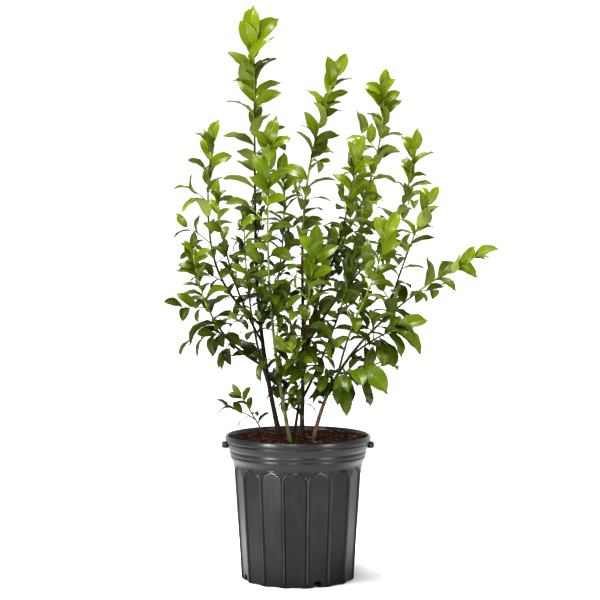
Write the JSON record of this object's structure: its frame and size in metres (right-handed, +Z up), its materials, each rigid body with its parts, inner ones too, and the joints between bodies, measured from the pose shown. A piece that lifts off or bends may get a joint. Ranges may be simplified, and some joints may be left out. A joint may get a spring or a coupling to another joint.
{
  "type": "potted blueberry bush",
  "caption": "Leafy upright blueberry bush whose bare canes rise from bark mix in a round nursery pot with arched side panels, a stepped collar and lifting lugs",
  "frame": {"origin": "middle of the pot's flat underside, which stands on the ground", "axes": "+Z up, -Y the side that faces the viewer in the picture, +X to the right of that view"},
  "size_m": [0.6159, 0.42, 1.0481],
  "materials": {
    "foliage": "soft satin green leaves, lighter beneath and yellow-green at the shoot tips",
    "brown_bark": "matt dark brown bark",
    "pink_bark": "matt pinkish brown bark",
    "green_bark": "smooth green young bark",
    "bark_mix": "matt dark brown shredded bark and peat",
    "pot_plastic": "satin black moulded polyethylene"
  },
  "bodies": {
    "root": {"bough_back_left": "brown_bark", "bough_back_right": "brown_bark", "bough_drooping": "brown_bark", "bough_far_left": "brown_bark", "bough_front": "brown_bark", "bough_inner_right": "brown_bark", "bough_low_front": "brown_bark", "bough_low_right": "brown_bark", "bough_mid_left": "brown_bark", "bough_outer_right": "brown_bark", "bough_pale": "green_bark", "bough_upper_left": "brown_bark", "cane_back": "green_bark", "cane_green": "green_bark", "cane_left": "brown_bark", "cane_low": "green_bark", "cane_middle": "brown_bark", "cane_right": "pink_bark", "leaves_back": "foliage", "leaves_back_left": "foliage", "leaves_back_right": "foliage", "leaves_drooping": "foliage", "leaves_far_left": "foliage", "leaves_front": "foliage", "leaves_green": "foliage", "leaves_inner_right": "foliage", "leaves_left": "foliage", "leaves_low": "foliage", "leaves_low_front": "foliage", "leaves_low_right": "foliage", "leaves_mid_left": "foliage", "leaves_middle": "foliage", "leaves_outer_right": "foliage", "leaves_pale": "foliage", "leaves_right": "foliage", "leaves_upper_left": "foliage", "pot": "pot_plastic", "soil": "bark_mix"}
  },
  "joints": []
}
